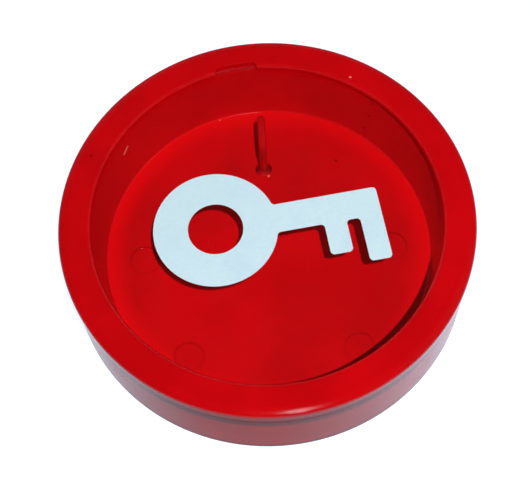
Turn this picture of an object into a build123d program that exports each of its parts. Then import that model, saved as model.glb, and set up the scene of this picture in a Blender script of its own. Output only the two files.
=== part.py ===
"""A round break-glass key box, lying on its back: +Z out of the front, +Y up on the wall.

A moulded dish holds a key on a hook. A printed glass pane lies on a soft seal over the dish,
and a push-fit cover ring holds the pane down by its lip. The origin is the centre of the back.
All lengths are in millimetres and all angles in degrees.
"""

import os

from build123d import *

# ---- Whole box ----
ring_d = 120.0              # outer diameter of the cover ring, the widest piece
box_depth = 29.4            # from the wall to the front face
cover_turn_at_rest = 7.5    # how far the cover and its pane stand turned on the dish

# ---- Cover ring ----
lip_t = 2.0                 # thickness of the lip over the pane
lip_overhang = 1.8          # how far the lip reaches in past the key space's wall
lip_fillet = 1.3            # rounding of the lip's inner edge
ring_edge_h = 5.0           # height of the ring that shows from the side
ring_crown_w = 2.2          # outer margin of the ring slopes down over this width
ring_crown_drop = 0.7
ring_crown_fillet = 6.0
ring_edge_fillet = 1.0      # rounding of the ring's outer edge
spigot_len = 8.0            # how deep the ring plugs into the dish
spigot_t = 1.8
notch_w = 12.0              # notch in the lip, where a blade lifts the ring
notch_corner_r = 1.0

# ---- Glass pane, its print and its seal ----
pane_t = 2.0
pane_arris = 0.3            # ground edge of the glass
print_t = 0.1
seal_t = 1.0
seal_setback = 0.3          # seal's inner edge, back from the wall

# ---- Back dish ----
dish_step = 0.3             # dish's side stands in from the ring's edge
outer_wall_t = 2.6
inner_wall_t = 2.5
wall_draft = 3.3            # key space is narrower by this, on the radius, at its floor
floor_fillet = 0.8
floor_t = 2.6
back_recess = 2.8           # floor's underside stands off the wall by this
web_t = 2.0                 # web between the inner and the outer wall
shadow_gap = 0.8            # open line between ring and dish
dish_edge_chamfer = 0.4

# ---- Ribs and fixing points on the dish's back ----
rib_count = 8
rib_t = 1.6
hub_r = 9.0
boss_wall_t = 2.75
fixing_hole_r = 2.25        # takes a 4 mm wood screw
fixing_low_x = 25.0         # lower pair of fixing points
fixing_low_y = -33.0
fixing_side_x = 37.5        # side pair of fixing points
fixing_side_y = -1.0
knockout_r = 4.4            # round mark on the floor over each fixing point
knockout_recess = 0.6
knockout_t = 1.0            # thin web that the installer pierces

# ---- Key hook ----
hook_r = 1.2
hook_y = 28.0
hook_reach = 15.0           # from the floor to the arm's axis
hook_arm = 10.0             # from the stem's axis to the arm's tip
hook_bend_r = 3.0
hook_foot_r = 2.6
hook_foot_t = 0.8
hook_shank_r = 1.5
hook_shank_len = 3.6

# ---- Key pictogram printed on the pane ----
key_len = 66.0
bow_r = 18.0
bow_hole_r = 8.0
shaft_w = 9.0
bit_w = 6.5                 # width of each of the key's two teeth
bit_gap = 4.0
long_bit = 14.0
short_bit = 10.0
key_corner_r = 1.2

# ---- Clearances ----
fit_clearance = 0.1         # ring's spigot in the dish's bore
spigot_clearance = 0.3      # ring's spigot round the inner wall
pane_clearance = 0.7        # pane's edge inside the spigot
groove_clearance = 1.4      # under the spigot's end
shank_clearance = 0.05

# ---- Radii, worked out from the outside inwards ----
ring_r = ring_d / 2
dish_r = ring_r - dish_step
bore_r = dish_r - outer_wall_t
spigot_outer_r = bore_r - fit_clearance
spigot_inner_r = spigot_outer_r - spigot_t
inner_wall_r = spigot_inner_r - spigot_clearance
wall_top_r = inner_wall_r - inner_wall_t
floor_r = wall_top_r - wall_draft
lip_r = wall_top_r - lip_overhang
pane_r = spigot_inner_r - pane_clearance

# ---- Heights above the wall ----
lip_z = box_depth - lip_t
pane_z = lip_z - pane_t
ledge_z = pane_z - seal_t
ring_edge_z = box_depth - ring_edge_h
dish_top_z = ring_edge_z - shadow_gap
spigot_z = ring_edge_z - spigot_len
groove_z = spigot_z - groove_clearance
web_z = groove_z - web_t
floor_z = back_recess + floor_t
knockout_z = floor_z - knockout_recess
fixing_hole_depth = knockout_z - knockout_t

fixing_points = [
    (side * x, y)
    for x, y in ((fixing_low_x, fixing_low_y), (fixing_side_x, fixing_side_y))
    for side in (-1, 1)
]
hook_point = (0, hook_y)
boss_r = fixing_hole_r + boss_wall_t
cover_plane = Plane.XY.rotated((0, 0, cover_turn_at_rest))


def wall_back_r(z):
    """Radius of the inner wall's outer face at a height, leaning in like its inner face."""
    return inner_wall_r - wall_draft * (ledge_z - z) / (ledge_z - floor_z)


# The dish: two round walls with a web between them, a floor, and a hollow back.
back_ring_r = wall_back_r(0) - inner_wall_t
with BuildPart() as back_dish:
    with BuildSketch(Plane.XZ) as dish_section:
        with BuildLine():
            Polyline(
                (0, floor_z),
                (floor_r, floor_z),
                (wall_top_r, ledge_z),
                (inner_wall_r, ledge_z),
                (wall_back_r(groove_z), groove_z),
                (bore_r, groove_z),
                (bore_r, dish_top_z),
                (dish_r, dish_top_z),
                (dish_r, 0),
                (bore_r, 0),
                (bore_r, web_z),
                (wall_back_r(web_z), web_z),
                (wall_back_r(0), 0),
                (back_ring_r, 0),
                (back_ring_r, back_recess),
                (0, back_recess),
                close=True,
            )
        make_face()
        corners = dish_section.vertices()
        fillet(corners.sort_by_distance((floor_r, floor_z))[0], floor_fillet)
        outer_corners = dish_section.vertices().group_by(Axis.X)[-1]
        chamfer(outer_corners, dish_edge_chamfer)
    revolve(axis=Axis.Z)
    # Ribs and bosses stiffen the floor from behind and reach the wall.
    with BuildSketch() as back_ribs:
        with PolarLocations(0, rib_count, start_angle=180 / rib_count):
            Rectangle(back_ring_r + inner_wall_t / 2, rib_t, align=(Align.MIN, Align.CENTER))
        Circle(hub_r)
        Circle(hub_r - rib_t, mode=Mode.SUBTRACT)
        with Locations(*fixing_points, hook_point):
            Circle(boss_r)
    extrude(amount=back_recess)
    with BuildSketch() as fixing_holes:
        with Locations(*fixing_points):
            Circle(fixing_hole_r)
    extrude(amount=fixing_hole_depth, mode=Mode.SUBTRACT)
    with BuildSketch(Plane.XY.offset(floor_z)) as knockouts:
        with Locations(*fixing_points):
            Circle(knockout_r)
    extrude(amount=-knockout_recess, mode=Mode.SUBTRACT)
    with BuildSketch(Plane.XY.offset(floor_z)) as hook_socket:
        with Locations(hook_point):
            Circle(hook_shank_r + shank_clearance)
    extrude(amount=-hook_shank_len, mode=Mode.SUBTRACT)
back_dish.part.label = "back_dish"

# The hook: a round peg that stands out of the floor and turns up, with a foot and a shank.
with BuildPart() as key_hook:
    with BuildLine(Plane.YZ) as hook_path:
        FilletPolyline(
            (hook_y, floor_z),
            (hook_y, floor_z + hook_reach),
            (hook_y + hook_arm - hook_r, floor_z + hook_reach),
            radius=hook_bend_r,
        )
    with BuildSketch(Plane(origin=(0, hook_y, floor_z))) as hook_round:
        Circle(hook_r)
    sweep()
    with Locations((0, hook_y + hook_arm - hook_r, floor_z + hook_reach)):
        Sphere(hook_r)
    with Locations((0, hook_y, floor_z)):
        Cone(hook_foot_r, hook_r, hook_foot_t, align=(Align.CENTER, Align.CENTER, Align.MIN))
        Cylinder(hook_shank_r, hook_shank_len, align=(Align.CENTER, Align.CENTER, Align.MAX))
key_hook.part.label = "key_hook"

# The seal: a flat ring on top of the inner wall, hidden under the lip.
with BuildPart() as glass_seal:
    with BuildSketch(Plane.XY.offset(ledge_z)) as seal_ring:
        Circle(inner_wall_r)
        Circle(wall_top_r + seal_setback, mode=Mode.SUBTRACT)
    extrude(amount=seal_t)
glass_seal.part.label = "glass_seal"

# The pane: a glass disc with ground edges.
with BuildPart() as glass_pane:
    with BuildSketch(Plane.XY.offset(pane_z)) as pane_disc:
        Circle(pane_r)
    extrude(amount=pane_t)
    chamfer(glass_pane.edges(), pane_arris)
glass_pane.part.label = "glass_pane"

# The print: a key pictogram on the back of the pane, level on the cover and clear of the hook.
bow_x = bow_r - key_len / 2
with BuildPart() as glass_print:
    with BuildSketch(cover_plane.offset(pane_z - print_t)) as key_picture:
        with Locations((bow_x, 0)):
            Circle(bow_r)
        with Locations((key_len / 2, 0)):
            Rectangle(key_len - bow_r, shaft_w, align=(Align.MAX, Align.CENTER))
            Rectangle(bit_w, shaft_w / 2 + long_bit, align=(Align.MAX, Align.MAX))
        with Locations((key_len / 2 - bit_w - bit_gap, 0)):
            Rectangle(bit_w, shaft_w / 2 + short_bit, align=(Align.MAX, Align.MAX))
        fillet(key_picture.vertices(), key_corner_r)
        with Locations((bow_x, 0)):
            Circle(bow_hole_r, mode=Mode.SUBTRACT)
    extrude(amount=print_t)
glass_print.part.label = "glass_print"

# The cover ring: a lip over the pane, a solid edge, and a spigot that plugs into the dish.
with BuildPart() as cover_ring:
    with BuildSketch(Plane.XZ) as ring_section:
        with BuildLine():
            Polyline(
                (lip_r, box_depth),
                (ring_r - ring_crown_w, box_depth),
                (ring_r, box_depth - ring_crown_drop),
                (ring_r, ring_edge_z),
                (spigot_outer_r, ring_edge_z),
                (spigot_outer_r, spigot_z),
                (spigot_inner_r, spigot_z),
                (spigot_inner_r, lip_z),
                (lip_r, lip_z),
                close=True,
            )
        make_face()
        for corner, radius in (
            ((ring_r, box_depth - ring_crown_drop), ring_edge_fillet),
            ((ring_r - ring_crown_w, box_depth), ring_crown_fillet),
            ((lip_r, box_depth), lip_fillet),
        ):
            fillet(ring_section.vertices().sort_by_distance(corner)[0], radius)
    revolve(axis=Axis.Z)
    # The notch bares the pane's edge above the wall, in the middle of the cover's top.
    with BuildSketch(cover_plane.offset(lip_z)) as notch:
        Rectangle(notch_w, wall_top_r, align=(Align.CENTER, Align.MIN))
        Circle(wall_top_r, mode=Mode.INTERSECT)
        fillet(notch.vertices().group_by(Axis.Y)[-1], notch_corner_r)
    extrude(amount=lip_t, mode=Mode.SUBTRACT)
cover_ring.part.label = "cover_ring"

os.makedirs("parts", exist_ok=True)
for piece in (back_dish, key_hook, glass_seal, glass_pane, glass_print, cover_ring):
    export_step(piece.part, f"parts/{piece.part.label}.step")
    print(piece.part.label, "volume", round(piece.part.volume, 1), "mm3")
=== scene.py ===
# %% [markdown]
# # A break-glass key box
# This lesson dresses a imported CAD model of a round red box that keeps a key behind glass.
# The box lies on its back on a white table: +Z comes out of its front and +Y is up on the wall.
# The CAD holds the sizes and the joints. Blender adds soft edges, finishes, light and the camera.
# Every object is in metres, and each new piece rides on the CAD body that it moves with.

# %% Load the frame
import math

import bmesh
import bpy
import numpy as np
from mathutils import Matrix, Vector


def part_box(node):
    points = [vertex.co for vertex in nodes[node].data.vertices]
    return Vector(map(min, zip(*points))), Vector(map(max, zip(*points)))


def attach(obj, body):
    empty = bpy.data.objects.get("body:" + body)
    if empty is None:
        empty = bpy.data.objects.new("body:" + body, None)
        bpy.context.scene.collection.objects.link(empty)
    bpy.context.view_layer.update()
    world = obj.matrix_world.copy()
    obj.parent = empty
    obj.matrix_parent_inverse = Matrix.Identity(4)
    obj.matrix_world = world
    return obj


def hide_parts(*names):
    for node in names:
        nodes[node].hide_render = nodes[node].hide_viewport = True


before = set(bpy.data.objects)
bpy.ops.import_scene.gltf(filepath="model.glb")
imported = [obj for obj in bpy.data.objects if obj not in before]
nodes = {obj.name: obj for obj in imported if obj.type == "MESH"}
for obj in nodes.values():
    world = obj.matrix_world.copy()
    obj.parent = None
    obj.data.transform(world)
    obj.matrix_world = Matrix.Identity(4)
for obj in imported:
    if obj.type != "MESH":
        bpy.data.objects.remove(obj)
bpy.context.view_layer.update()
MM = 0.001
print("CAD nodes:", sorted(nodes))

# %% [markdown]
# ## Sizes
# The big sizes are read from the CAD nodes, so the new pieces follow the model.
# Only what a box can't tell is written here: the lip, the notch and the small roundings that a
# mould gives every edge. A sharp edge never catches the light, and a real one always does.

# %% Sizes in millimetres
def span(node):
    """Lowest and highest corner of a CAD node, in millimetres."""
    low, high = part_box(node)
    return np.array(low) / MM, np.array(high) / MM


ring_low, ring_high = span("cover_ring")
dish_high = span("back_dish")[1]
pane_low, pane_high = span("glass_pane")
print_high = span("glass_print")[1]

BOX_DEPTH = float(ring_high[2])         # wall to front face
RING_R = 60.0                           # outside of the cover ring
EDGE_H = 5.0                            # height of the ring that shows from the side
DISH_TOP_Z = 23.6                       # top of the dish's side, under an open seam
SPIGOT_OUTER_R = 57.0                   # the collar that plugs into the dish
SPIGOT_INNER_R = 55.2
WALL_TOP_R = 52.4                       # key space at the top of its wall
LIP_R = 50.6                            # inner edge of the lip over the glass
LIP_ROUNDING = 1.3
CROWN_W = 2.2                           # the ring's outer margin slopes down a little
CROWN_DROP = 0.7
CROWN_ROUNDING = 6.0
EDGE_ROUNDING = 1.0                     # outer top edge of the ring
SMALL_ROUNDING = 0.3                    # every other moulded edge
NOTCH_W = 12.0                          # blade notch in the lip
FLOOR_Z = 5.4                           # floor of the key space
KNOCKOUTS = ((25.0, -33.0), (37.5, -1.0))   # round marks on the floor, also mirrored
KNOCKOUT_R = 4.4
HOOK_Y = 28.0                           # the hook's stem
HOOK_ARM_Z = 21.6                       # top of its arm
COVER_TURN = math.radians(7.5)          # the cover and its print stand turned on the dish
PANE_R = 54.5
GLASS_ROUNDING = 0.3
CONTACT_GAP = 0.01                      # keeps touching faces apart, so that none flickers
print("ring from", ring_low.round(2), "to", ring_high.round(2))

# %% [markdown]
# ## Camera
# Four circles of the box show as ellipses in the photograph: the ring's outer edge, the lip,
# the foot of the wall and the edge of the back. A camera was fitted to them. It looks down
# at the box from 65 degrees, with a short telephoto view and a slight roll.
# The fit gives its direction, its distance and its focal length, so the outlines meet.

# %% Place the camera
VIEW_AZIMUTH = math.radians(0.443)
VIEW_ELEVATION = math.radians(64.751)
VIEW_ROLL = math.radians(-3.770)
VIEW_DISTANCE = 352.612
VIEW_TARGET = Vector((-1.219, -4.765, 14.7))
FOCAL_LENGTH = 81.21                    # on a 36 mm wide sensor


def camera_axes(azimuth, elevation, roll):
    """The camera's own X, Y and Z: right and up turned by the roll, and straight back."""
    back = Vector((math.sin(azimuth) * math.cos(elevation),
                   -math.cos(azimuth) * math.cos(elevation),
                   math.sin(elevation)))
    right = Vector((math.cos(azimuth), math.sin(azimuth), 0))
    up = back.cross(right)
    x_axis = math.cos(roll) * right + math.sin(roll) * up
    y_axis = math.cos(roll) * up - math.sin(roll) * right
    return x_axis, y_axis, back


x_axis, y_axis, back = camera_axes(VIEW_AZIMUTH, VIEW_ELEVATION, VIEW_ROLL)
camera_data = bpy.data.cameras.new("photo_camera")
camera_data.sensor_width = 36
camera_data.lens = FOCAL_LENGTH
camera = bpy.data.objects.new("photo_camera", camera_data)
bpy.context.scene.collection.objects.link(camera)
camera.matrix_world = Matrix((x_axis, y_axis, back)).transposed().to_4x4()
camera.location = (VIEW_TARGET + back * VIEW_DISTANCE) * MM
bpy.context.scene.camera = camera
print("camera at", [round(v / MM, 1) for v in camera.location], "mm")

# %% [markdown]
# ## Building materials from nodes
# A material here is a small graph of nodes. One function adds any kind of node, sets it up and
# feeds its inputs, so a finish reads as a list of steps.
# Colours are written as sRGB hex, as a paint chart gives them, and turned to linear light.
# Patterns read Object coordinates in metres, so a scale is one over the pattern's real size.

# %% Node and colour helpers
def linear(hex_colour):
    """sRGB hex to linear RGBA: below 0.04045 divide by 12.92, above it a 2.4 power curve."""
    parts = np.array([int(hex_colour[i:i + 2], 16) for i in (1, 3, 5)]) / 255
    curve = np.where(parts <= 0.04045, parts / 12.92, ((parts + 0.055) / 1.055) ** 2.4)
    return (*curve.tolist(), 1.0)


def add(tree, kind, inputs=None, **settings):
    """Adds a node. Each input is a value, a socket, or a node whose first output feeds it."""
    node = tree.nodes.new(kind)
    for name, value in settings.items():
        setattr(node, name, value)
    for name, value in (inputs or {}).items():
        if isinstance(value, bpy.types.Node):
            value = next(socket for socket in value.outputs if socket.enabled)
        if isinstance(value, bpy.types.NodeSocket):
            tree.links.new(value, node.inputs[name])
        else:
            node.inputs[name].default_value = value
    return node


def new_material(name):
    """An empty node material, its node tree and its output node."""
    material = bpy.data.materials.new(name)
    material.use_nodes = True
    material.node_tree.nodes.clear()
    output = add(material.node_tree, "ShaderNodeOutputMaterial")
    return material, material.node_tree, output


def per_size(millimetres):
    """Texture scale whose features are about this many millimetres across."""
    return 1 / (millimetres * MM)


print("a mid red as linear light:", [round(v, 3) for v in linear("#C8060F")])

# %% [markdown]
# ## Patterns of use
# Moulded plastic is never one flat colour. These patterns are shared by the red pieces: hairline
# scratches from handling, specks of dust, edges that hands have rubbed, and single spots. They
# also place painted shade along seams and round steps, and painted glints.
# Each gives a number from 0 to 1 that a finish mixes in as much as it likes.
# The box is turned, so a rubbed edge is a circle. In the plane of radius and height it is a
# point, and a pixel's distance from that point says how near the edge it is.

# %% Shared patterns
def hairlines(tree, place, angle, width, length):
    """Thin straight scratches: noise pulled out along one direction, then cut near its peaks.

    A real hairline is a few hundredths of a millimetre wide. These are drawn a tenth wide,
    the finest that still shows.
    """
    turned = add(tree, "ShaderNodeMapping", {
        "Vector": place, "Rotation": (0.0, 0.0, angle),
        "Scale": (per_size(width), per_size(length), per_size(width))})
    streaks = add(tree, "ShaderNodeTexNoise", {
        "Vector": turned, "Scale": 1.0, "Detail": 1.0})
    return add(tree, "ShaderNodeMapRange", {
        "Value": streaks, "From Min": 0.76, "From Max": 0.84}, interpolation_type="SMOOTHSTEP")


def dust_specks(tree, place, cell, size, share):
    """Small spots: a ball about the middle of some of the cells of a broken-up grid."""
    cells = add(tree, "ShaderNodeTexVoronoi", {"Vector": place, "Scale": per_size(cell)})
    spot = add(tree, "ShaderNodeMapRange", {
        "Value": cells.outputs["Distance"], "From Min": 0.5 * size / cell,
        "From Max": size / cell, "To Min": 1.0, "To Max": 0.0})
    lot = add(tree, "ShaderNodeSeparateColor", {"Color": cells.outputs["Color"]})
    kept = add(tree, "ShaderNodeMath", {0: lot, 1: share}, operation="LESS_THAN")
    return add(tree, "ShaderNodeMath", {0: spot, 1: kept}, operation="MULTIPLY")


def profile_place(tree, place):
    """Where a point lies in the turned profile: (radius, height, 0)."""
    parts = add(tree, "ShaderNodeSeparateXYZ", {"Vector": place})
    flat = add(tree, "ShaderNodeCombineXYZ", {
        "X": parts.outputs["X"], "Y": parts.outputs["Y"]})
    radius = add(tree, "ShaderNodeVectorMath", {0: flat}, operation="LENGTH")
    return add(tree, "ShaderNodeCombineXYZ", {"X": radius, "Y": parts.outputs["Z"]})


def near_points(tree, place, points, reach):
    """1 at each point, in millimetres, falling smoothly to 0 at the reach."""
    if not points:
        return 0.0
    nearest = None
    for point in points:
        gap = add(tree, "ShaderNodeVectorMath", {
            0: place, 1: [v * MM for v in point]}, operation="DISTANCE")
        if nearest is not None:
            gap = add(tree, "ShaderNodeMath", {0: gap, 1: nearest}, operation="MINIMUM")
        nearest = gap
    return add(tree, "ShaderNodeMapRange", {
        "Value": nearest, "From Min": 0.0, "From Max": reach * MM, "To Min": 1.0,
        "To Max": 0.0}, interpolation_type="SMOOTHSTEP")


def near_rings(tree, place, middles, radius, reach, most):
    """Faint circles of one radius about the middles: strongest where distance = radius."""
    if not middles:
        return 0.0
    nearest = None
    for middle in middles:
        gap = add(tree, "ShaderNodeVectorMath", {
            0: place, 1: [v * MM for v in middle]}, operation="DISTANCE")
        if nearest is not None:
            gap = add(tree, "ShaderNodeMath", {0: gap, 1: nearest}, operation="MINIMUM")
        nearest = gap
    off = add(tree, "ShaderNodeMath", {0: nearest, 1: radius * MM}, operation="SUBTRACT")
    off = add(tree, "ShaderNodeMath", {0: off}, operation="ABSOLUTE")
    return add(tree, "ShaderNodeMapRange", {
        "Value": off, "From Min": 0.0, "From Max": reach * MM, "To Min": most,
        "To Max": 0.0}, interpolation_type="SMOOTHSTEP")


print("patterns ready: hairlines, dust specks, rubbed edges and spots")

# %% [markdown]
# ## Red moulded plastic
# The box is polystyrene, coloured through and moulded in polished steel.
# That gives a deep, even red under a clear gloss, a slight orange peel that bends reflections,
# and dull hairlines where hands and cloths have been. One function makes it for every red
# piece, and each piece says how polished and how handled it is.
# The real grain is about a hundredth of a millimetre, too fine to show, so it is drawn coarser.

# %% Colours of the red plastic
RING_RED = "#CC040C"                    # clean, evenly lit
LIGHTENED_DISH_RED = "#D6040C"                    # painted light: the ring's plastic drawn a touch lighter, to brighten the inside of the dish
DEEPER = 0.84                           # where the pigment lies thicker
GLOWING_RED = "#E7040C"                 # the floor's edge, lit by the wall
SCUFF = "#D8443F"                       # rubbed dull, so paler
DUST = "#E6B8B4"
SPECK_AND_GLINT = "#F2987C"                       # pale specks, and painted glints
# Dark spots of dirt, and painted shade at seams, feet and round steps
GRIME_AND_SHADE = "#4A0408"
PLASTIC_IOR = 1.5                       # polystyrene is 1.59, its blends about 1.5
PEEL = 0.006                            # depth of the orange peel, in millimetres
CUT = -0.0015                           # depth of a hairline
WORN_REACH = 0.8                        # how far each mark spreads, in millimetres
# How far painted shade spreads from a darkened seam or foot
SHADED_EDGE_REACH = 3.0
SPECK_AND_GLINT_REACH = 0.55
GRIME_REACH = 0.6
STEP_REACH = 0.7                        # to each side of a round step in the floor
STEP_SHADE = 0.13                        # how dark the painted shade at such a step is
GLOW_REACH = 7.0
GLOW_STRETCH = 10.0                     # heights count this much more than radii
print("red as linear light:", [round(v, 3) for v in linear(RING_RED)])


# %% Red plastic
def red_plastic(name, red, gloss, grain_depth, handled, worn, shaded_edges, specks_and_glints, grime,
                rings=(), glowing=()):
    """Red polystyrene for one piece.

    Red is its colour, gloss the roughness of its clean surface, grain_depth is in
    millimetres, and handled says how far its scratches and dust show. Worn lists the edges
    that are rubbed pale, and the list after it the seams and feet that are darkened with
    painted shade, as (radius, height). Flecks are the places of single pale specks and
    painted glints, and grime those of single dark spots of dirt. Rings are the middles of
    the round steps in the floor, whose edges are darkened with painted shade, and glowing
    the circles round which the floor is lit by the wall, again as (radius, height).
    """
    material, tree, output = new_material(name)
    deep_red = (*[v * DEEPER for v in linear(red)[:3]], 1.0)
    place = add(tree, "ShaderNodeTexCoord").outputs["Object"]
    clouds = add(tree, "ShaderNodeTexNoise", {
        "Vector": place, "Scale": per_size(22.0), "Detail": 3.0})
    flow = add(tree, "ShaderNodeMapRange", {
        "Value": clouds, "From Min": 0.3, "From Max": 0.7}, interpolation_type="SMOOTHSTEP")
    colour = add(tree, "ShaderNodeMix", {
        "Factor": flow, "A": linear(red), "B": deep_red}, data_type="RGBA")

    # Light that the wall throws back makes the floor's edge glow in the photograph, more than
    # it does here, so the red itself is brighter there. Heights are stretched, so that the
    # distance grows fast up the wall and only the floor is reached.
    profile = profile_place(tree, place)
    stretched = add(tree, "ShaderNodeVectorMath", {
        0: profile, 1: (1.0, GLOW_STRETCH, 1.0)}, operation="MULTIPLY")
    lit_places = [(r, GLOW_STRETCH * z, 0) for r, z in glowing]
    lit = near_points(tree, stretched, lit_places, GLOW_REACH)
    colour = add(tree, "ShaderNodeMix", {
        "Factor": lit, "A": colour, "B": linear(GLOWING_RED)}, data_type="RGBA")

    # Hairlines and rubbed edges lose their gloss and turn paler.
    lines = add(tree, "ShaderNodeMath", {
        0: hairlines(tree, place, 0.6, 0.14, 9.0),
        1: hairlines(tree, place, -0.9, 0.11, 6.0)}, operation="MAXIMUM")
    lines = add(tree, "ShaderNodeMath", {0: lines, 1: handled}, operation="MULTIPLY")
    patches = add(tree, "ShaderNodeTexNoise", {
        "Vector": place, "Scale": per_size(3.0), "Detail": 3.0})
    rubbed = add(tree, "ShaderNodeMapRange", {
        "Value": patches, "From Min": 0.4, "From Max": 0.75, "To Max": 0.6})
    edges = near_points(tree, profile, [(*edge, 0) for edge in worn], WORN_REACH)
    rubbed = add(tree, "ShaderNodeMath", {0: rubbed, 1: edges}, operation="MULTIPLY")
    dulled = add(tree, "ShaderNodeMath", {0: lines, 1: rubbed}, operation="MAXIMUM")
    paler = add(tree, "ShaderNodeMath", {0: dulled, 1: 0.12}, operation="MULTIPLY")
    colour = add(tree, "ShaderNodeMix", {
        "Factor": paler, "A": colour, "B": linear(SCUFF)}, data_type="RGBA")

    # Dust settles anywhere. The single spots have their places.
    specks = add(tree, "ShaderNodeMath", {
        0: dust_specks(tree, place, 15.0, 0.32, 0.22), 1: handled}, operation="MULTIPLY")
    colour = add(tree, "ShaderNodeMix", {
        "Factor": specks, "A": colour, "B": linear(DUST)}, data_type="RGBA")
    # Pale specks, and painted glints, at their places.
    colour = add(tree, "ShaderNodeMix", {
        "Factor": near_points(tree, place, specks_and_glints, SPECK_AND_GLINT_REACH), "A": colour,
        "B": linear(SPECK_AND_GLINT)}, data_type="RGBA")
    # Painted shade darkens the seam under the ring, the foot on the table and the hook's foot.
    edge_shade = near_points(tree, profile, [(*edge, 0) for edge in shaded_edges], SHADED_EDGE_REACH)
    dirt_and_shade = add(tree, "ShaderNodeMath", {0: edge_shade, 1: 0.85}, operation="MULTIPLY")
    spots_of_grime = near_points(tree, place, grime, GRIME_REACH)
    # Painted shade along the edges of the round steps in the floor.
    steps = near_rings(tree, place, rings, KNOCKOUT_R, STEP_REACH, STEP_SHADE)
    for spots in (spots_of_grime, steps):
        dirt_and_shade = add(tree, "ShaderNodeMath", {0: dirt_and_shade, 1: spots}, operation="MAXIMUM")
    colour = add(tree, "ShaderNodeMix", {
        "Factor": dirt_and_shade, "A": colour, "B": linear(GRIME_AND_SHADE)}, data_type="RGBA")

    wiped = add(tree, "ShaderNodeTexNoise", {
        "Vector": place, "Scale": per_size(9.0), "Detail": 4.0})
    wiped = add(tree, "ShaderNodeMapRange", {
        "Value": wiped, "From Min": 0.45, "From Max": 0.75, "To Min": gloss,
        "To Max": gloss + 0.05})
    roughness = add(tree, "ShaderNodeMath", {
        0: dulled, 1: 0.2, 2: wiped}, operation="MULTIPLY_ADD")

    peel = add(tree, "ShaderNodeTexNoise", {
        "Vector": place, "Scale": per_size(2.6), "Detail": 1.0})
    grain = add(tree, "ShaderNodeTexNoise", {"Vector": place, "Scale": per_size(0.45)})
    cuts = add(tree, "ShaderNodeMath", {0: lines, 1: CUT}, operation="MULTIPLY")
    relief = add(tree, "ShaderNodeMath", {
        0: grain, 1: grain_depth, 2: cuts}, operation="MULTIPLY_ADD")
    relief = add(tree, "ShaderNodeMath", {
        0: peel, 1: PEEL, 2: relief}, operation="MULTIPLY_ADD")
    bump = add(tree, "ShaderNodeBump", {"Height": relief, "Distance": MM, "Strength": 1.0})
    plastic = add(tree, "ShaderNodeBsdfPrincipled", {
        "Base Color": colour, "Roughness": roughness, "IOR": PLASTIC_IOR, "Normal": bump})
    tree.links.new(plastic.outputs["BSDF"], output.inputs["Surface"])
    return material


# %% The red pieces' finishes
# A short pale streak on the left wall is a painted glint.
PAINTED_WALL_GLINT = np.linspace((-41.0, 31.0, 18.8), (-42.2, 29.1, 17.9), 6).tolist()

ring_red = red_plastic(
    "polished_red_polystyrene", RING_RED, gloss=0.13, grain_depth=0.0015, handled=0.9,
    worn=[(RING_R - 0.3, BOX_DEPTH - 1.0), (LIP_R + 0.4, BOX_DEPTH - 0.4)],
    # painted shade under the ring's edge, at the seam
    shaded_edges=[(RING_R, BOX_DEPTH - EDGE_H)],
    specks_and_glints=[(27.7, 44.9, 29.4)], grime=[(-50.5, 23.0, 29.3)])
dish_red = red_plastic(
    "satin_red_polystyrene", LIGHTENED_DISH_RED, gloss=0.20, grain_depth=0.0030, handled=0.35,
    worn=[(dish_high[0] - 0.2, 0.2)],
    # painted shade at the seam under the ring, and along the foot on the table
    shaded_edges=[(dish_high[0], z) for z in (DISH_TOP_Z, DISH_TOP_Z - 2.0, 0.0)],
    # pale specks by the hook's foot, and the painted glint on the left wall
    specks_and_glints=[(1.4, 25.4, FLOOR_Z), *PAINTED_WALL_GLINT],
    grime=[(34.2, 39.2, 22.1), (33.5, 38.4, 16.3), (32.2, 38.1, 10.0), (22.8, 29.5, FLOOR_Z)],
    # painted shade round the edges of the round steps in the floor
    rings=[(side * x, y, FLOOR_Z) for side in (-1, 1) for x, y in KNOCKOUTS],
    glowing=[(48.6, FLOOR_Z)])
hook_red = red_plastic(
    "hook_red_polystyrene", LIGHTENED_DISH_RED, gloss=0.20, grain_depth=0.0010, handled=0.2,
    # painted shade where the hook's foot meets the floor
    worn=[(HOOK_Y, HOOK_ARM_Z)], shaded_edges=[(HOOK_Y, FLOOR_Z)],
    # a pale speck at the hook's foot
    specks_and_glints=[(0.0, HOOK_Y, 5.6)], grime=[(0.0, 37.0, HOOK_ARM_Z)])
print("red plastics:", ring_red.name, dish_red.name, hook_red.name)

# %% [markdown]
# ## Window glass
# The pane is plain float glass, cut round, with its edge ground and left matt.
# Its faces are nearly perfect, so all that shows of them is a weak reflection and a few wiped
# smears. Real glass lets a path tracer find small lamps only by luck, so two Light Path tests
# let shadow rays, and light already thrown back by the box, pass straight through.
# Only what the camera looks at is bent and mirrored.

# %% Glass
GLASS_TINT = "#FAFEFC"                  # float glass is faintly green
GLASS_IOR = 1.5
GROUND_ROUGHNESS = 0.45                 # the matt rim that the wheel leaves


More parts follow.
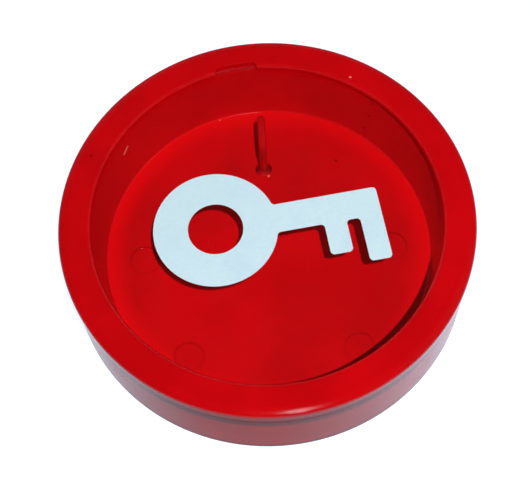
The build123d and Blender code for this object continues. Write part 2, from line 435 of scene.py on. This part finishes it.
def window_glass(name):
    """Clear float glass with wiped smears and a matt ground edge."""
    material, tree, output = new_material(name)
    place = add(tree, "ShaderNodeTexCoord").outputs["Object"]
    radius = add(tree, "ShaderNodeSeparateXYZ", {"Vector": profile_place(tree, place)})
    ground = add(tree, "ShaderNodeMapRange", {
        "Value": radius, "From Min": (PANE_R - 0.5) * MM, "From Max": (PANE_R - 0.3) * MM,
        "To Max": GROUND_ROUGHNESS})
    wiped = add(tree, "ShaderNodeTexNoise", {
        "Vector": place, "Scale": per_size(14.0), "Detail": 3.0})
    wiped = add(tree, "ShaderNodeMapRange", {
        "Value": wiped, "From Min": 0.5, "From Max": 0.8, "To Max": 0.04})
    roughness = add(tree, "ShaderNodeMath", {0: ground, 1: wiped}, operation="MAXIMUM")
    glass = add(tree, "ShaderNodeBsdfPrincipled", {
        "Base Color": linear(GLASS_TINT), "Transmission Weight": 1.0, "IOR": GLASS_IOR,
        "Roughness": roughness})
    clear = add(tree, "ShaderNodeBsdfTransparent")
    path = add(tree, "ShaderNodeLightPath").outputs
    lamp_side = add(tree, "ShaderNodeMixShader", {
        0: path["Is Shadow Ray"], 1: glass, 2: clear})
    seen = add(tree, "ShaderNodeMixShader", {
        0: path["Is Reflection Ray"], 1: lamp_side, 2: clear})
    tree.links.new(seen.outputs["Shader"], output.inputs["Surface"])
    return material


pane_glass = window_glass("clear_float_glass")
print("glass:", pane_glass.name)

# %% [markdown]
# ## Screen-printing ink and rubber
# The white picture is screen-printed on the back of the glass. Ink laid through a mesh is
# matt, very slightly uneven, and a little thin in tiny spots. A mesh has about ten threads to
# the millimetre, too fine to show, so its mottling is drawn ten times as coarse.
# The seal is a plain soft rubber ring that hardly shows under the lip.

# %% Ink and rubber
INK = "#DEF6FF"                         # a cold white
INK_THIN = "#CEE8FB"                    # where the mesh let less ink through
RUBBER = "#BE0A12"
BLOOM = "#C8262A"                       # the powder on its skin


def printing_ink(name):
    """Matt white ink: mottling from the mesh in its colour, and a faint tooth."""
    material, tree, output = new_material(name)
    place = add(tree, "ShaderNodeTexCoord").outputs["Object"]
    mottle = add(tree, "ShaderNodeTexNoise", {
        "Vector": place, "Scale": per_size(0.9), "Detail": 3.0, "Roughness": 0.6})
    patches = add(tree, "ShaderNodeTexNoise", {"Vector": place, "Scale": per_size(14.0)})
    patches = add(tree, "ShaderNodeMapRange", {
        "Value": patches, "From Min": 0.45, "From Max": 0.75, "To Max": 0.4})
    uneven = add(tree, "ShaderNodeMapRange", {
        "Value": mottle, "From Min": 0.35, "From Max": 0.7, "To Max": 0.6})
    uneven = add(tree, "ShaderNodeMath", {0: uneven, 1: patches}, operation="ADD")
    colour = add(tree, "ShaderNodeMix", {
        "Factor": uneven, "A": linear(INK), "B": linear(INK_THIN)}, data_type="RGBA")
    tooth = add(tree, "ShaderNodeBump", {"Height": mottle, "Distance": 0.004 * MM})
    ink = add(tree, "ShaderNodeBsdfPrincipled", {
        "Base Color": colour, "Roughness": 0.6, "IOR": 1.45, "Normal": tooth})
    tree.links.new(ink.outputs["BSDF"], output.inputs["Surface"])
    return material


def soft_rubber(name):
    """Dull silicone rubber with a fine powdery bloom."""
    material, tree, output = new_material(name)
    place = add(tree, "ShaderNodeTexCoord").outputs["Object"]
    bloom = add(tree, "ShaderNodeTexNoise", {
        "Vector": place, "Scale": per_size(0.7), "Detail": 4.0})
    bloom = add(tree, "ShaderNodeMapRange", {
        "Value": bloom, "From Min": 0.35, "From Max": 0.75})
    colour = add(tree, "ShaderNodeMix", {
        "Factor": bloom, "A": linear(RUBBER), "B": linear(BLOOM)}, data_type="RGBA")
    skin = add(tree, "ShaderNodeBump", {"Height": bloom, "Distance": 0.01 * MM})
    rubber = add(tree, "ShaderNodeBsdfPrincipled", {
        "Base Color": colour, "Roughness": 0.75, "IOR": 1.41, "Normal": skin})
    tree.links.new(rubber.outputs["BSDF"], output.inputs["Surface"])
    return material


ink_white = printing_ink("screen_printed_white_ink")
seal_rubber = soft_rubber("red_silicone_rubber")
print("ink and rubber:", ink_white.name, seal_rubber.name)

# %% [markdown]
# ## A profile with soft corners
# Turned and moulded rings are one profile swept round an axis. The profile is a short list of
# corners, and each corner becomes an arc with its own radius. An extra point just outside each
# arc holds the flat faces flat when the shading is smooth.

# %% Rounded profile
ARC_STEPS = 8
HOLD = 0.12                             # flat strip kept beside an arc, in millimetres


def rounded_profile(corners, closed=True):
    """Points (r, z) along a polygon whose corners are arcs.

    At each corner an arc of radius R touches both sides at R / tan(half the angle) from the
    corner, and its centre lies on the corner's bisector at R / sin(half the angle).
    """
    count = len(corners)
    pieces = []
    for i, (r, z, radius) in enumerate(corners):
        here = np.array([r, z])
        if radius == 0 or (not closed and i in (0, count - 1)):
            pieces.append(here[None])
            continue
        before = np.array(corners[i - 1][:2]) - here
        after = np.array(corners[(i + 1) % count][:2]) - here
        before /= np.linalg.norm(before)
        after /= np.linalg.norm(after)
        half = math.acos(np.clip(before @ after, -1, 1)) / 2
        bisector = (before + after) / np.linalg.norm(before + after)
        centre = here + bisector * radius / math.sin(half)
        reach = radius / math.tan(half)
        turn = np.linspace(-1, 1, ARC_STEPS + 1)[:, None] * (math.pi / 2 - half)
        side = (after - before) / np.linalg.norm(after - before)
        arc = centre + radius * (np.sin(turn) * side - np.cos(turn) * bisector)
        pieces.append(np.vstack([here + before * (reach + HOLD), arc,
                                 here + after * (reach + HOLD)]))
    return np.vstack(pieces)


ring_corners = (
    (LIP_R, BOX_DEPTH, LIP_ROUNDING),
    (RING_R - CROWN_W, BOX_DEPTH, CROWN_ROUNDING),
    (RING_R, BOX_DEPTH - CROWN_DROP, EDGE_ROUNDING),
    (RING_R, BOX_DEPTH - EDGE_H, SMALL_ROUNDING),
    (SPIGOT_OUTER_R, BOX_DEPTH - EDGE_H, 0.2),
    (SPIGOT_OUTER_R, ring_low[2], 0.5),
    (SPIGOT_INNER_R, ring_low[2], 0.5),
    (SPIGOT_INNER_R, pane_high[2], 0.2),
    (LIP_R, pane_high[2], SMALL_ROUNDING),
)
ring_profile = rounded_profile(ring_corners)
print("ring profile has", len(ring_profile), "points")

# %% [markdown]
# ## Sweeping a profile round the axis
# The profile goes round as a grid of points: one row for each angle, one column for each
# point of the profile. The faces join each point to its neighbours in both directions.
# Doubled points at the axis are merged, so the poles and seams are closed.

# %% Grid to mesh
def turned_points(radii, heights, angles):
    """Grid of points: x = r cos(angle), y = r sin(angle), z = height, for each pair."""
    radii = np.broadcast_to(radii, (len(angles), radii.shape[-1]))
    heights = np.broadcast_to(heights, radii.shape)
    across = np.cos(angles)[:, None]
    along = np.sin(angles)[:, None]
    return np.stack([radii * across, radii * along, heights], axis=-1) * MM


def grid_mesh(name, points, loop_profile):
    """A closed skin over a grid that goes round in its first direction, faces outwards."""
    turns, steps = points.shape[:2]
    index = np.arange(turns * steps).reshape(turns, steps)
    ahead = np.roll(index, -1, axis=0)
    here_next = np.roll(index, -1, axis=1)
    ahead_next = np.roll(ahead, -1, axis=1)
    quads = np.stack([index, ahead, ahead_next, here_next], axis=-1)
    if not loop_profile:
        quads = quads[:, :-1]
    mesh = bpy.data.meshes.new(name)
    mesh.from_pydata(points.reshape(-1, 3), [], quads.reshape(-1, 4).tolist())
    return tidy_mesh(mesh)


def tidy_mesh(mesh):
    """Merges doubled points, turns all faces outwards and shades them smooth."""
    work = bmesh.new()
    work.from_mesh(mesh)
    bmesh.ops.remove_doubles(work, verts=work.verts, dist=1e-7)
    bmesh.ops.recalc_face_normals(work, faces=work.faces)
    work.to_mesh(mesh)
    work.free()
    mesh.shade_smooth()
    return mesh


def new_piece(mesh, material, body):
    """An object for the mesh, with its material, at the origin, that rides on a body."""
    mesh.materials.append(material)
    piece = bpy.data.objects.new(mesh.name, mesh)
    bpy.context.scene.collection.objects.link(piece)
    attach(piece, body)
    return piece


print("grid and mesh helpers ready")

# %% [markdown]
# ## The cover ring
# The ring is the face of the box: a flat lip over the glass, a rounded outer edge, and a collar
# below that plugs into the dish. A blade notch in the lip breaks the plain turning, so the
# lip's inner edge is a function of the angle: it steps back over the notch's width, and its
# rounding shrinks there. The rows stand closer together at the notch's two ends.

# %% Cover ring
NOTCH_DEPTH = WALL_TOP_R - LIP_R
NOTCH_BLEND = 0.9                       # how far each end of the notch runs out
NOTCH_ROUNDING = 0.25
DRAFT = math.tan(math.radians(3))       # moulded faces lean, so that they leave the steel
RING_STEPS = 480

notch_centre = math.pi / 2 + COVER_TURN
notch_half = NOTCH_W / 2 / LIP_R
fine = np.linspace(-1.0, 1.0, 15) * 1.2 * NOTCH_BLEND / LIP_R
even = np.linspace(0, 2 * math.pi, RING_STEPS, endpoint=False)
offsets = np.concatenate([even - math.pi, fine - notch_half, fine + notch_half])
offsets = np.unique(offsets.round(6))


def notch_share(offset):
    """1 inside the notch, 0 outside, with a smooth step 3t^2 - 2t^3 over each end."""
    inside = (notch_half - np.abs(offset)) * LIP_R / NOTCH_BLEND + 0.5
    t = np.clip(inside, 0, 1)
    return t * t * (3 - 2 * t)


def cover_ring_points():
    """The ring's grid: the profile at every angle, its lip drawn back over the notch.

    Each point of the lip's edge moves out by notch depth times share. Its distance from the
    lip's corner is scaled from the full rounding down to the notch's small one.
    """
    share = notch_share(offsets)[:, None]
    radii, heights = ring_profile[None, :, 0], ring_profile[None, :, 1]
    edge = radii < LIP_R + LIP_ROUNDING + 2 * HOLD
    rounding = edge & (heights > pane_high[2] + 2 * SMALL_ROUNDING)
    shrink = 1 - (1 - NOTCH_ROUNDING / LIP_ROUNDING) * share * rounding
    radii = LIP_R + (radii - LIP_R) * shrink + edge * NOTCH_DEPTH * share
    heights = BOX_DEPTH + (heights - BOX_DEPTH) * shrink
    radii = radii + DRAFT * edge * np.clip(heights - pane_high[2], 0, None)
    return turned_points(radii, heights, offsets + notch_centre)


ring_mesh = grid_mesh("moulded_cover_ring", cover_ring_points(), loop_profile=True)
cover_ring = new_piece(ring_mesh, ring_red, "cover")
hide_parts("cover_ring")
print("cover ring:", len(ring_mesh.polygons), "faces")

# %% [markdown]
# ## The glass pane
# The pane is a flat disc whose edge a wheel has ground round. It is the same sweep with an
# open profile that starts and ends on the axis. It stands a hundredth of a millimetre clear
# of the lip and of the seal, because two faces at the same height would flicker.

# %% Glass pane
PANE_STEPS = 240
pane_corners = (
    (0.0, pane_high[2] - CONTACT_GAP, 0),
    (PANE_R, pane_high[2] - CONTACT_GAP, GLASS_ROUNDING),
    (PANE_R, pane_low[2] + CONTACT_GAP, GLASS_ROUNDING),
    (0.0, pane_low[2] + CONTACT_GAP, 0),
)
pane_profile = rounded_profile(pane_corners, closed=False)
around = np.linspace(0, 2 * math.pi, PANE_STEPS, endpoint=False)
pane_points = turned_points(pane_profile[:, 0], pane_profile[:, 1], around)
pane_mesh = grid_mesh("ground_glass_pane", pane_points, loop_profile=False)
pane = new_piece(pane_mesh, pane_glass, "pane")
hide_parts("glass_pane")
print("pane:", len(pane_mesh.polygons), "faces, radius", PANE_R, "mm")

# %% [markdown]
# ## The print
# The picture's outline comes from its CAD node, so the two never differ. Its copy is merged,
# because CAD meshes are loose triangles, and lowered by two hundredths of a millimetre, so
# that the ink lies just under the glass.

# %% Print
def merged_copy(node, name, shift):
    """A clean mesh with a CAD node's faces, moved by the shift, with its doubles merged."""
    source = nodes[node].data
    points = np.zeros(len(source.vertices) * 3)
    source.vertices.foreach_get("co", points)
    faces = [list(face.vertices) for face in source.polygons]
    mesh = bpy.data.meshes.new(name)
    mesh.from_pydata(points.reshape(-1, 3) + shift, [], faces)
    tidy_mesh(mesh)
    mesh.set_sharp_from_angle(angle=math.radians(40))
    return mesh


print_mesh = merged_copy("glass_print", "white_key_print", (0, 0, -2 * CONTACT_GAP * MM))
key_print = new_piece(print_mesh, ink_white, "pane")
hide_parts("glass_print")
print("print:", len(print_mesh.polygons), "faces at height", print_high[2].round(2), "mm")

# %% [markdown]
# ## The pieces that stay CAD
# The dish, the hook and the seal already have their true shapes, down to the ribs, the bosses
# and the round marks over the screw holes. They only need their finishes.

# %% Dress the CAD nodes
def dress(node, material):
    """Gives a CAD node one material."""
    data = nodes[node].data
    data.materials.clear()
    data.materials.append(material)


dress("back_dish", dish_red)
dress("key_hook", hook_red)
dress("glass_seal", seal_rubber)
print("dressed:", "back_dish, key_hook, glass_seal")

# %% [markdown]
# ## Floor and world
# The photograph has a plain white ground. The table is a mid grey that glows to the camera, and
# to looks through the glass, until it shows white. It still takes a shadow.
# The upright sides mirror it, as they do in the photograph: dimly in front, and brightly
# further round to the right.
# The sky is dim, and darkest overhead, so that gloss seen from above stays deep red.

# %% Floor and world
FLOOR_SIZE = 3000.0
FLOOR_WHITE = "#8E9197"
FLOOR_GREY = "#888B91"
TABLE_TINT = "#E2ECFF"
FLOOR_GLOW = 1.06
MIRROR_GLOW = (0.17, 1.00)              # in front of the box, and further round it
DIMMEST = (-15.0, -75.0, 0.0)           # where the mirrored table is darkest
MIRROR_REACH = 96.0                     # and how far from there it is at its brightest
SKY_ZENITH = 0.02
SKY_HORIZON = 0.2


def looked_at(tree):
    """1 where the camera looks straight at a thing, or at it through glass.

    A ray that a matt or glossy surface has already turned is left out.
    """
    path = add(tree, "ShaderNodeLightPath").outputs
    turns = add(tree, "ShaderNodeMath", {
        0: path["Diffuse Depth"], 1: path["Glossy Depth"]}, operation="ADD")
    unturned = add(tree, "ShaderNodeMath", {0: turns, 1: 0.5}, operation="LESS_THAN")
    through = add(tree, "ShaderNodeMath", {
        0: path["Is Transmission Ray"], 1: unturned}, operation="MULTIPLY")
    return add(tree, "ShaderNodeMath", {
        0: path["Is Camera Ray"], 1: through}, operation="MAXIMUM")


def white_table():
    """Matt white card, with a glow that only direct looks and reflections see."""
    material, tree, output = new_material("white_table_card")
    place = add(tree, "ShaderNodeTexCoord").outputs["Object"]
    tone = add(tree, "ShaderNodeTexNoise", {"Vector": place, "Scale": per_size(180.0)})
    colour = add(tree, "ShaderNodeMix", {
        "Factor": tone, "A": linear(FLOOR_WHITE), "B": linear(FLOOR_GREY)}, data_type="RGBA")
    card = add(tree, "ShaderNodeBsdfDiffuse", {"Color": colour})
    path = add(tree, "ShaderNodeLightPath").outputs
    seen = add(tree, "ShaderNodeMath", {
        0: looked_at(tree), 1: FLOOR_GLOW}, operation="MULTIPLY")
    away = add(tree, "ShaderNodeVectorMath", {
        0: place, 1: [v * MM for v in DIMMEST]}, operation="DISTANCE")
    mirrored = add(tree, "ShaderNodeMapRange", {
        "Value": away, "From Max": MIRROR_REACH * MM, "To Min": MIRROR_GLOW[0],
        "To Max": MIRROR_GLOW[1]}, interpolation_type="SMOOTHSTEP")
    mirrored = add(tree, "ShaderNodeMath", {
        0: path["Is Glossy Ray"], 1: mirrored}, operation="MULTIPLY")
    strength = add(tree, "ShaderNodeMath", {0: seen, 1: mirrored}, operation="MAXIMUM")
    glow = add(tree, "ShaderNodeEmission", {
        "Color": linear(TABLE_TINT), "Strength": strength})
    both = add(tree, "ShaderNodeAddShader", {0: card, 1: glow})
    tree.links.new(both.outputs["Shader"], output.inputs["Surface"])
    return material


half = FLOOR_SIZE / 2 * MM
floor_mesh = bpy.data.meshes.new("table")
low = -CONTACT_GAP * MM
floor_mesh.from_pydata([(-half, -half, low), (half, -half, low), (half, half, low),
                        (-half, half, low)], [], [(0, 1, 2, 3)])
floor_mesh.materials.append(white_table())
table = bpy.data.objects.new("table", floor_mesh)
bpy.context.scene.collection.objects.link(table)

world = bpy.data.worlds.new("studio")
bpy.context.scene.world = world
world.use_nodes = True
sky = world.node_tree
sky.nodes.clear()
upward = add(sky, "ShaderNodeSeparateXYZ", {
    "Vector": add(sky, "ShaderNodeTexCoord").outputs["Generated"]})
gradient = add(sky, "ShaderNodeMapRange", {
    "Value": upward.outputs["Z"], "From Min": 0.05, "From Max": 0.72, "To Min": SKY_HORIZON,
    "To Max": SKY_ZENITH}, interpolation_type="SMOOTHSTEP")
strength = add(sky, "ShaderNodeMath", {0: gradient, 1: looked_at(sky)}, operation="MAXIMUM")
sky_light = add(sky, "ShaderNodeBackground", {
    "Color": linear("#F4F8FF"), "Strength": strength})
add(sky, "ShaderNodeOutputWorld", {"Surface": sky_light})
print("sky from", SKY_HORIZON, "at the horizon to", SKY_ZENITH, "overhead")

# %% [markdown]
# ## Lamps
# A small lamp beside the lens is the camera's flash. It throws the print's hard shadow on the
# floor of the box. Its mirror image on the near edge is weak in the photograph, so a second lamp
# in the same place gives only that glint, and the flash itself is hidden from reflections.
# Two large soft ones, on the right and behind, fill the shadows and light the far sides.
# A lamp's power is worked out from the level it should give, in the function below.

# %% Lamps
FLASH_PLACE = Vector((26.0, -134.0, 334.0))
FLASH_REACH = 1.7                       # the lamp stands this much further off, for even light
FLASH_RADIUS = 4.0
FLASH_LEVEL = 0.89
GLINT_SHARE = 0.035                     # the flash's mirror image is this much weaker
SOFT_SIZE = 360.0
SOFT_LAMPS = (
    ("soft_box_right", Vector((420.0, -60.0, 420.0)), 0.10),
    ("soft_box_behind", Vector((-260.0, 420.0, 260.0)), 0.15),
)


def lamp(name, place, size, level, shape):
    """An area lamp that faces the middle of the box and lights it to the level.

    A disc facing a lamp of power P at distance d is lit to P / (pi d)^2.
    """
    data = bpy.data.lights.new(name, "AREA")
    data.shape = shape
    data.size = size * MM
    distance = (place - VIEW_TARGET).length * MM
    data.energy = level * (math.pi * distance) ** 2
    light = bpy.data.objects.new(name, data)
    bpy.context.scene.collection.objects.link(light)
    light.location = place * MM
    light.rotation_mode = "QUATERNION"
    light.rotation_quaternion = (VIEW_TARGET - place).to_track_quat("-Z", "Y")
    light.visible_transmission = False      # shadow rays already carry it through the glass
    return light


flash_place = VIEW_TARGET + (FLASH_PLACE - VIEW_TARGET) * FLASH_REACH
flash_size = 2 * FLASH_RADIUS * FLASH_REACH
flash = lamp("flash", flash_place, flash_size, FLASH_LEVEL, "DISK")
flash.visible_glossy = False
glint = lamp("flash_glint", flash_place, flash_size, FLASH_LEVEL * GLINT_SHARE, "DISK")
glint.visible_diffuse = False
for name, place, level in SOFT_LAMPS:
    lamp(name, place, SOFT_SIZE, level, "SQUARE").visible_glossy = False
bpy.context.scene.view_settings.view_transform = "Standard"
print("flash level", FLASH_LEVEL, "and soft levels", [level for _, _, level in SOFT_LAMPS])
